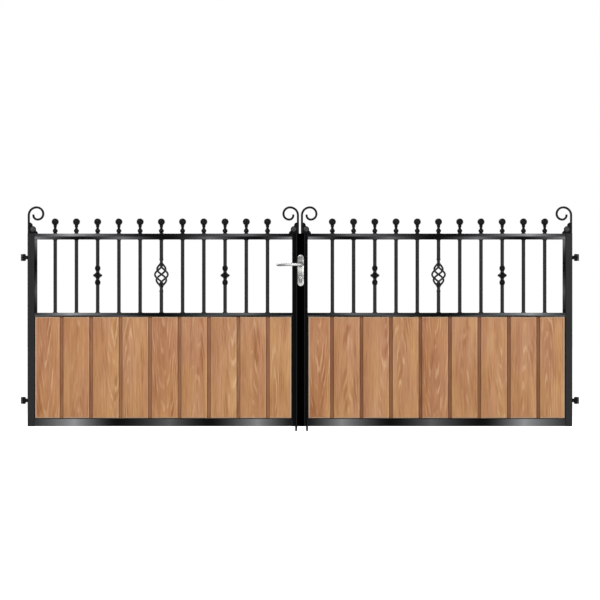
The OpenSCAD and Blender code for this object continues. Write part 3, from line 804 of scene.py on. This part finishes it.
def make_bars(leaf):
    low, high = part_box(leaf + "_plain_bars")
    collar_z = ORNAMENT_Z + COLLAR_UP
    bars, collars = bmesh.new(), bmesh.new()
    for k, x in enumerate(bar_places(leaf)):
        if k == BASKET_BAR:
            continue
        add_lathe(bars, [(0.0, low.z), (BAR_R, low.z), (BAR_R, high.z), (0.0, high.z)], (x, 0, 0), 32)
        if k in COLLARED:
            add_collar(collars, x, collar_z, COLLAR_R, COLLAR_HALF, cone)
            for up in (BULB_UP, -BULB_UP):
                add_collar(collars, x, collar_z + up, BULB_R, BULB_HALF, bulb)
    leaf_piece(leaf, "bars", bars, BLACK, ["plain_bars", "collared_bars"], 50.0)
    leaf_piece(leaf, "collars", collars, FOOT_BLACK, (), 40.0)


def add_strand(bm, middle, reach, start, way):
    """One rod of a basket, a helix that swells in its middle."""
    def turn(t):
        return start - way * BASKET_TURN * (t - 0.5)

    def at(t):
        z = (2 * t - 1) * (BASKET_HALF - 0.003)
        r = reach * math.cos(math.pi / 2 * z / BASKET_HALF) ** BASKET_POWER
        return middle + Vector((r * math.cos(turn(t)), r * math.sin(turn(t)), z))

    rings = []
    for i in range(STRAND_RINGS + 1):
        t = i / STRAND_RINGS
        along = (at(min(1, t + 0.01)) - at(max(0, t - 0.01))).normalized()
        side = along.cross(Vector((math.cos(turn(t)), math.sin(turn(t)), 0))).normalized()
        rings.append(tube_ring(at(t), side, side.cross(along), STRAND_SIDES, STRAND_R))
    add_grid(bm, rings)


def make_basket(leaf):
    low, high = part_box(leaf + "_basket_bar")
    middle = centre(leaf + "_basket_bar")
    middle.z = ORNAMENT_Z + BASKET_UP
    reach = (high.x - low.x) / 2 - STRAND_R
    way = 1 if leaf == "left" else -1
    bm = bmesh.new()
    for angle in circle(STRANDS):
        add_strand(bm, middle, reach, angle + way * BASKET_START, way)
    neck_and_ring = [(NECK_R, BASKET_HALF - 0.001), (NECK_R + 0.0001, BASKET_HALF + 0.003),
                     (BAR_R - 0.0004, RING_UP - 0.0065), (BAR_R + 0.0003, RING_UP - 0.0052),
                     (RING_R - 0.0007, RING_UP - 0.0035), (RING_R, RING_UP - 0.0018),
                     (RING_R, RING_UP + 0.0018), (RING_R - 0.0007, RING_UP + 0.0035),
                     (BAR_R + 0.0003, RING_UP + 0.0048), (BAR_R, RING_UP + 0.0058)]
    for way_up, end_z, length in ((1, high.z, UPPER_CONE), (-1, low.z, LOWER_CONE)):
        core = [(r, BASKET_HALF - length * share + off) for r, share, off in CORE]
        end = abs(end_z - middle.z)
        profile = core + neck_and_ring + [(BAR_R, end), (0.0, end)]
        add_lathe(bm, [(r, way_up * h) for r, h in profile], middle, 28)
    leaf_piece(leaf, "basket", bm, BLACK, ["basket_bar"], 40.0)


# Scrolls

STRAP_T = 0.012
STRAP_CORNER = 0.0022
STEM = 0.1005
SCROLL_RADII = (0.0435, 0.036, 0.031, 0.023)
TURN_STEPS = 16
# The strap's rounded tip: how far on, its thickness as a share, and how much is off its depth at each side
STRAP_TIP = ((0.0030, 0.97, 0.0), (0.0044, 0.86, 0.0006), (0.0053, 0.62, 0.0018))
TIP_CORNER = 0.0018


def scroll_path():
    """Centreline of a scroll in its own plane, from the foot up."""
    r = SCROLL_RADII
    first = Vector((STRAP_T / 2 + r[0], STEM))
    second = first + Vector((0, r[0] - r[1]))
    third = second + Vector((r[1] - r[2], 0))
    fourth = third - Vector((0, r[2] - r[3]))
    path = [Vector((STRAP_T / 2, STEM * k / 6)) for k in range(7)]
    for quarter, (middle, radius) in enumerate(zip((first, second, third, fourth), r)):
        for k in range(1, TURN_STEPS + 1):
            a = math.radians(180 - 90 * (quarter + k / TURN_STEPS))
            path.append(middle + radius * Vector((math.cos(a), math.sin(a))))
    return path


def strap_ring(here, along, half_t, half_d, corner=STRAP_CORNER):
    """A rounded rectangle across the strap, in the scroll's plane and along Y."""
    across = Vector((-along.y, along.x))
    ring = []
    for sx, sy in ((1, 1), (-1, 1), (-1, -1), (1, -1)):
        for step in (-40, 0, 40):
            a = math.atan2(sy, sx) + math.radians(step)
            flat = here + across * (sx * (half_t - corner) + corner * math.cos(a))
            ring.append(Vector((flat.x, sy * (half_d - corner) + corner * math.sin(a), flat.y)))
    return ring


def make_scrolls(leaf):
    low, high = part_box(leaf + "_scrolls")
    half_d = (high.y - low.y) / 2
    path = scroll_path()
    rings = [strap_ring(here, along_path(path, i), STRAP_T / 2, half_d) for i, here in enumerate(path)]
    along = (path[-1] - path[-2]).normalized()
    for on, share, off in STRAP_TIP:
        rings.append(strap_ring(path[-1] + along * on, along, STRAP_T / 2 * share, half_d - off, TIP_CORNER))
    bm = bmesh.new()
    for edge, way in ((low.x, 1), (high.x, -1)):
        add_grid(bm, [[Vector((edge + way * p.x, p.y, TOP_Z + p.z)) for p in ring] for ring in rings])
    leaf_piece(leaf, "scroll_pair", bm, SCROLL_BLACK, ["scrolls"])


# Welds: height of each ring of beads round a bar, its radius, and the bead's

BAR_WELDS = ((mid_high.z + 0.0012, BAR_R + 0.0006, 0.0026), (rail_low.z - 0.0012, BAR_R + 0.0006, 0.0026),
             (rail_high.z + 0.0008, BAR_R + 0.0004, 0.0020))
# Beads at the rails' ends: radius, and how far they stop short of a face's edges in Z and in Y
END_BEAD_R = 0.0019
SHORT_Z = 0.003
SHORT_Y = 0.004


def circle_path(x, z, radius):
    return [Vector((x + radius * math.cos(a), radius * math.sin(a), z)) for a in circle(24)]


def line_path(start, end):
    count = max(2, int((end - start).length / BEAD_STEP))
    return [start.lerp(end, k / count) for k in range(count + 1)]


def make_welds(leaf, seed):
    bm = bmesh.new()
    for k, x in enumerate(bar_places(leaf)):
        for row, (z, radius, bead) in enumerate(BAR_WELDS):
            add_bead(bm, circle_path(x, z, radius), bead, seed + 20 * row + k, closed=True)
    low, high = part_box(leaf + "_top_rail")
    joints = []
    for low_z, high_z in ((rail_low.z, rail_high.z), (mid_low.z, mid_high.z), (bottom_low.z, bottom_high.z)):
        for x in (low.x, high.x):
            for y in (FRONT_Y, BACK_Y):
                joints.append((Vector((x, y, low_z + SHORT_Z)), Vector((x, y, high_z - SHORT_Z))))
            joints.append((Vector((x, FRONT_Y + SHORT_Y, high_z)), Vector((x, BACK_Y - SHORT_Y, high_z))))
    for k, (start, end) in enumerate(joints):
        add_bead(bm, line_path(start, end), END_BEAD_R, seed + 70 + k)
    leaf_piece(leaf, "welds", bm, BLACK)


# Raised middle lobe on the scrolls' feet, whose length and height are those of the solids

FOOT_L = 0.056
FOOT_H = 0.061
LOBE_R = FOOT_L * 0.29
# The lobe's middle, from the foot's outer edge and over the top of the stile
LOBE_IN = FOOT_L * 0.62 - LOBE_R - 0.001
LOBE_UP = (FOOT_H - LOBE_R) * 0.53
# Radius as a share of the lobe's, and height over the face
LOBE_PROFILE = ((0.84, -0.0004), (0.83, 0.0003), (0.74, 0.0014), (0.55, 0.0024), (0.3, 0.0030), (0.0, 0.0032))


def make_foot_lobes(leaf):
    low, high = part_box(leaf + "_scroll_feet")
    bm = bmesh.new()
    for x in (low.x + LOBE_IN, high.x - LOBE_IN):
        for side in (1, -1):
            profile = [(LOBE_R * r, side * h) for r, h in LOBE_PROFILE]
            add_lathe(bm, profile, (x, high.y * side, TOP_Z + LOBE_UP), 28, FORWARD)
    leaf_piece(leaf, "foot_lobes", bm, LOBE_PAINTED_HIGHLIGHT_BLACK)


# Lock

plate_low, plate_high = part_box("handle_plate")
# The plate's edge from its back to its face: inset, and share of the thickness
PLATE_EDGE = ((0.0, 0.0), (0.0, 0.55), (0.0006, 0.78), (0.0022, 0.94), (0.0050, 1.0))
ARC_STEPS = 18
SLOT_R = 0.005
# How far the lever's line stands before the plate, how far before it the line starts, and its bend's radius
LEVER_OUT = 0.042
HUB_OUT = 0.006
LEVER_BEND = 0.016
LEVER_R = 0.00925
LEVER_DROOP = 0.003
BEND_POINTS = 12


def make_handle_plate():
    middle = centre("handle_plate")
    half_w, thick = (plate_high.x - plate_low.x) / 2, plate_high.y - plate_low.y
    straight = (plate_high.z - plate_low.z) / 2 - half_w
    rings = []
    for inset, share in PLATE_EDGE:
        r = half_w - inset
        y = plate_high.y - thick * share
        ring = []
        for side, start in ((1, 0.0), (-1, math.pi)):
            for k in range(ARC_STEPS + 1):
                a = math.pi * k / ARC_STEPS + start
                z = middle.z + side * straight + r * math.sin(a)
                ring.append(Vector((middle.x + r * math.cos(a), y, z)))
        rings.append(ring)
    bm = bmesh.new()
    add_grid(bm, rings)
    finish_piece("satin_plate", bm, "left_leaf", SATIN_PAINTED_REFLECTIONS, ["handle_plate"], 50.0)


def make_key_cylinder():
    low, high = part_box("key_cylinder")
    x = (low.x + high.x) / 2
    round_r = (high.x - low.x) / 2
    round_z = high.z - round_r
    slot_z = low.z + SLOT_R

    def outline(grow, y):
        """The pear shape of a key cylinder: a round head on a narrower slot."""
        reach = round_r + grow
        half = SLOT_R + grow
        meet = math.asin(half / reach)
        ring = []
        for k in range(25):
            a = -math.pi / 2 + meet + (2 * math.pi - 2 * meet) * k / 24
            ring.append(Vector((x + reach * math.cos(a), y, round_z + reach * math.sin(a))))
        for k in range(9):
            a = math.pi + math.pi * k / 8
            ring.append(Vector((x + half * math.cos(a), y, slot_z + half * math.sin(a))))
        return ring

    bm = bmesh.new()
    face = plate_low.y - 0.0015
    add_grid(bm, [outline(0.0030, plate_low.y + 0.001), outline(0.0030, face), outline(0.0022, face - 0.0009),
                  outline(0.0006, face - 0.0009), outline(0.0004, plate_low.y - 0.0002)])
    finish_piece("cylinder_rose", bm, "left_leaf", PAINTED_SHADE_SATIN, (), 40.0)
    bm = bmesh.new()
    add_grid(bm, [outline(0, high.y), outline(0, low.y + 0.0006), outline(-0.0006, low.y)])
    finish_piece("cylinder_core", bm, "left_leaf", MID_SATIN, ["key_cylinder"], 40.0)
    bm = bmesh.new()
    add_lathe(bm, [(0.0, 0.0004), (0.0068, 0.0004), (0.0068, -0.0006), (0.0062, -0.0010), (0.0, -0.0010)],
              (x, low.y, round_z), 32, FORWARD)
    finish_piece("cylinder_plug", bm, "left_leaf", BRIGHT_SATIN, (), 40.0)
    bm = bmesh.new()
    # A black bar on the plug's face: painted shade of the keyhole
    add_box(bm, (x - 0.0012, low.y - 0.0014, round_z - 0.0042),
            (x + 0.0012, low.y + 0.0005, round_z + 0.0042), 0.0003)
    finish_piece("key_slot_painted_shade", bm, "left_leaf", BLACK)


def lever_path(hub, tip_x):
    """The lever's line: away from the plate, round a bend and on to its tip with a slight droop."""
    path = [hub - Vector((0, HUB_OUT + (LEVER_OUT - HUB_OUT - LEVER_BEND) * k / 4, 0)) for k in range(5)]
    corner = hub + Vector((-LEVER_BEND, LEVER_BEND - LEVER_OUT, 0))
    for k in range(1, 9):
        a = math.pi / 2 * k / 8
        path.append(corner + LEVER_BEND * Vector((math.cos(a), -math.sin(a), 0)))
    run = hub.x - tip_x - LEVER_BEND - 0.002
    for k in range(1, 15):
        t = k / 14
        path.append(hub + Vector((-LEVER_BEND - run * t, 0.004 * math.sin(math.pi * t) - LEVER_OUT,
                                  -LEVER_DROOP * t * t)))
    return path


def make_lever():
    low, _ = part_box("lever_handle")
    hub = Vector((centre("handle_plate").x, plate_low.y, SPINDLE.z))
    # The rose takes the darker steel: painted shade round the lever's boss
    rose = bmesh.new()
    add_lathe(rose, [(0.0118, -0.0058), (0.0118, -0.0014), (0.0142, -0.0010), (0.0150, -0.0016),
                     (0.0150, -0.0040), (0.0142, -0.0054), (0.0118, -0.0058)], hub, 40, FORWARD)
    finish_piece("lever_rose", rose, "left_leaf", PAINTED_SHADE_SATIN)
    bm = bmesh.new()
    add_lathe(bm, [(0.0, 0.0), (0.0112, 0.0), (0.0114, -0.0068), (0.0108, -0.0080),
                   (0.0102, -0.0086), (0.0100, -0.0095), (0.0, -0.0095)], hub, 40, FORWARD)
    path = lever_path(hub, low.x)
    upward = Vector((0, 0, 1))
    rings = []
    for i, here in enumerate(path):
        side = along_path(path, i).cross(upward).normalized()
        t = max(0.0, (i - BEND_POINTS) / 14)
        wide, tall = LEVER_R * (1.0 - 0.42 * t), LEVER_R * (1.0 - 0.24 * t)
        if i == len(path) - 1:
            wide, tall = wide * 0.5, tall * 0.55
        elif i == len(path) - 2:
            wide, tall = wide * 0.95, tall * 0.97
        rings.append(tube_ring(here, wide * side, tall * upward, 24))
    add_grid(bm, rings)
    finish_piece("lever_bow", bm, "lever_set", LEVER_SATIN_PAINTED_LIGHT, ["lever_handle"], 50.0)


# Fixings

BACKWARD = (0, 1, 0)
# Shares of a screw head's radius and height, from its edge to the bottom of its socket
SCREW_HEAD = ((1.0, 0.35), (0.9, 0.75), (0.6, 1.0), (0.42, 1.0), (0.40, 0.45))
CLEAT_EDGE = 0.020
CLEAT_MIDDLE = 0.0125
BRACKET_LIP = 0.004
BRACKET_SCREW_YS = (0.008, 0.022)
# Radius and height of a screw's head
CLEAT_SCREW = (0.0045, 0.0024)
BRACKET_SCREW = (0.0062, 0.0036)
STILE_WALL = 0.0026


def add_screw(bm, place, out, head_r, head_h):
    """A pan-head screw with a socket, standing out of a face along out."""
    profile = [(0.0, -0.0005), (head_r, -0.0005)] + [(head_r * r, head_h * h) for r, h in SCREW_HEAD]
    add_lathe(bm, profile, place, 18, Vector((0, 0, 1)).rotation_difference(Vector(out)))


def make_cleat_screws(leaf):
    low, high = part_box(leaf + "_cleats")
    bm = bmesh.new()
    for z in (low.z + CLEAT_EDGE, high.z - CLEAT_EDGE):
        for x, width in board_layout(leaf):
            for share in (0.22, 0.78):
                add_screw(bm, (on_leaf(leaf, x + width * share), high.y, z), BACKWARD, *CLEAT_SCREW)
    for x in (low.x + CLEAT_MIDDLE, high.x - CLEAT_MIDDLE):
        for k in range(1, 4):
            add_screw(bm, (x, high.y, low.z + (high.z - low.z) * k / 4), BACKWARD, *CLEAT_SCREW)
    leaf_piece(leaf, "cleat_screws", bm, ZINC)


def make_bracket_screws():
    bm = bmesh.new()
    for name in ("left_lower", "left_upper", "right_lower", "right_upper"):
        low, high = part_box(name + "_bracket")
        left = name.startswith("left")
        x, way = (low.x + BRACKET_LIP, 1) if left else (high.x - BRACKET_LIP, -1)
        for y in BRACKET_SCREW_YS:
            add_screw(bm, (x, y, (low.z + high.z) / 2), (way, 0, 0), *BRACKET_SCREW)
    finish_piece("bracket_screws", bm, "hinge_brackets", BLACK)


def make_stile_plugs(leaf):
    bm = bmesh.new()
    for part in ("hinge_stile", "meeting_stile"):
        low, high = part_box(f"{leaf}_{part}")
        add_box(bm, (low.x + STILE_WALL, low.y + STILE_WALL, low.z - 0.0008),
                (high.x - STILE_WALL, high.y - STILE_WALL, low.z + 0.010), 0.0006)
    leaf_piece(leaf, "stile_plugs", bm, BLACK)


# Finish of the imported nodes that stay; those that aren't named here are plain black

OWN_MATERIAL = {"slam_channel": CHANNEL_PAINTED_EDGE_HIGHLIGHTS_BLACK, "handle_plate": SATIN_PAINTED_REFLECTIONS, "key_cylinder": SATIN_PAINTED_REFLECTIONS,
                "lock_case": ZINC, "lever_handle": LEVER_SATIN_PAINTED_LIGHT, "lever_spindle": ZINC,
                "hinge_pins": FOOT_BLACK}
SIDE_MATERIAL = {"meeting_stile": DEEP_BLACK, "top_rail": TOP_PAINTED_HIGHLIGHTS_BLACK, "mid_rail": MID_PAINTED_HIGHLIGHTS_BLACK,
                 "bottom_rail": BOTTOM_PAINTED_HIGHLIGHTS_BLACK, "inner_strip": STRIP_PAINTED_HIGHLIGHT_BLACK, "finials": FINIAL_BLACK,
                 "scroll_feet": FOOT_BLACK, "lower_bracket": FOOT_BLACK, "upper_bracket": FOOT_BLACK,
                 "hinge_eyes": FOOT_BLACK, "drop_bolt": FOOT_BLACK, "boards": TIMBER}


def dress_nodes():
    for name, node in nodes.items():
        of_side = SIDE_MATERIAL.get(name.partition("_")[2], BLACK)
        node.data.materials.clear()
        node.data.materials.append(OWN_MATERIAL.get(name, of_side))


# Floor, light and camera

PIXEL = 0.005486
PHOTO_SIZE = 600
VIEW_X = MIDDLE_X + 0.0003
VIEW_Z = 0.5508
LENS = 200.0
SENSOR = 36.0
FAR_CLIP = 200.0
FLOOR_GAP = 0.14
FLOOR_HALF = 40.0
FLOOR_GLOW = 0.72
FLOOR_TONE = (0.82, 0.82, 0.82, 1)
SKY = 0.50
WHITE = (1, 1, 1, 1)
LAMP_TARGET = Vector((MIDDLE_X, 0, 0.5))
# Name, place from the gate's middle, size and power
LAMPS = (("key", (-2.5, -5.0, 4.5), (3.0, 2.0), 190.0), ("strip", (3.6, -5.6, 1.2), (0.7, 3.0), 75.0),
         ("back", (0.0, 5.0, 4.0), (4.0, 2.0), 150.0))


def make_floor():
    s = Shader("floor_white")
    s.tree.nodes.remove(s.surface)
    bright, matte = s.add("Emission"), s.add("BsdfDiffuse")
    set_inputs(bright, {"Color": WHITE, "Strength": FLOOR_GLOW})
    set_inputs(matte, {"Color": FLOOR_TONE})
    both = s.add("AddShader", {0: bright.outputs[0], 1: matte.outputs[0]})
    pick = s.add("MixShader", {0: s.background_rays(), 1: matte.outputs[0], 2: both.outputs[0]})
    s.link(pick.outputs[0], s.out.inputs["Surface"])
    mesh = bpy.data.meshes.new("floor")
    z = BOTTOM_Z - FLOOR_GAP
    signs = ((-1, -1), (1, -1), (1, 1), (-1, 1))
    corners = [(MIDDLE_X + sx * FLOOR_HALF, sy * FLOOR_HALF, z) for sx, sy in signs]
    mesh.from_pydata(corners, [], [(0, 1, 2, 3)])
    mesh.materials.append(s.material)
    floor = bpy.data.objects.new("floor", mesh)
    bpy.context.scene.collection.objects.link(floor)


def make_world():
    world = bpy.data.worlds.new("studio")
    world.use_nodes = True
    bpy.context.scene.world = world
    w = Nodes(world.node_tree)
    w.tree.nodes.clear()
    seen, light = w.add("Background"), w.add("Background")
    set_inputs(seen, {"Color": WHITE, "Strength": 1.0})
    set_inputs(light, {"Color": WHITE, "Strength": SKY})
    mix = w.add("MixShader", {0: w.background_rays(), 1: light.outputs[0], 2: seen.outputs[0]})
    w.add("OutputWorld", {"Surface": mix.outputs[0]})


def make_lights():
    for name, (x, y, z), (width, height), power in LAMPS:
        lamp = bpy.data.lights.new(name, "AREA")
        lamp.shape = "RECTANGLE"
        lamp.size, lamp.size_y = width, height
        lamp.energy = power
        obj = bpy.data.objects.new(name, lamp)
        bpy.context.scene.collection.objects.link(obj)
        obj.location = (MIDDLE_X + x, y, z)
        obj.rotation_euler = (LAMP_TARGET - obj.location).to_track_quat("-Z", "Y").to_euler()


def make_camera():
    data = bpy.data.cameras.new("camera")
    data.lens = LENS
    data.sensor_width = SENSOR
    data.clip_end = FAR_CLIP
    camera = bpy.data.objects.new("camera", data)
    bpy.context.scene.collection.objects.link(camera)
    distance = PIXEL * PHOTO_SIZE * LENS / SENSOR
    camera.location = (VIEW_X, FRONT_Y - distance, VIEW_Z)
    camera.rotation_euler = (math.pi / 2, 0, 0)
    bpy.context.scene.camera = camera


make_camera()
make_world()
make_lights()
make_floor()
dress_nodes()
board_rng = random.Random(11)
for leaf_name, leaf_seed in (("left", 100), ("right", 300)):
    make_boards(leaf_name, board_rng)
    make_basket(leaf_name)
    make_bars(leaf_name)
    make_scrolls(leaf_name)
    make_welds(leaf_name, leaf_seed)
    make_foot_lobes(leaf_name)
    make_cleat_screws(leaf_name)
    make_stile_plugs(leaf_name)
make_bracket_screws()
make_handle_plate()
make_key_cylinder()
make_lever()

bpy.context.scene.view_settings.view_transform = "Standard"
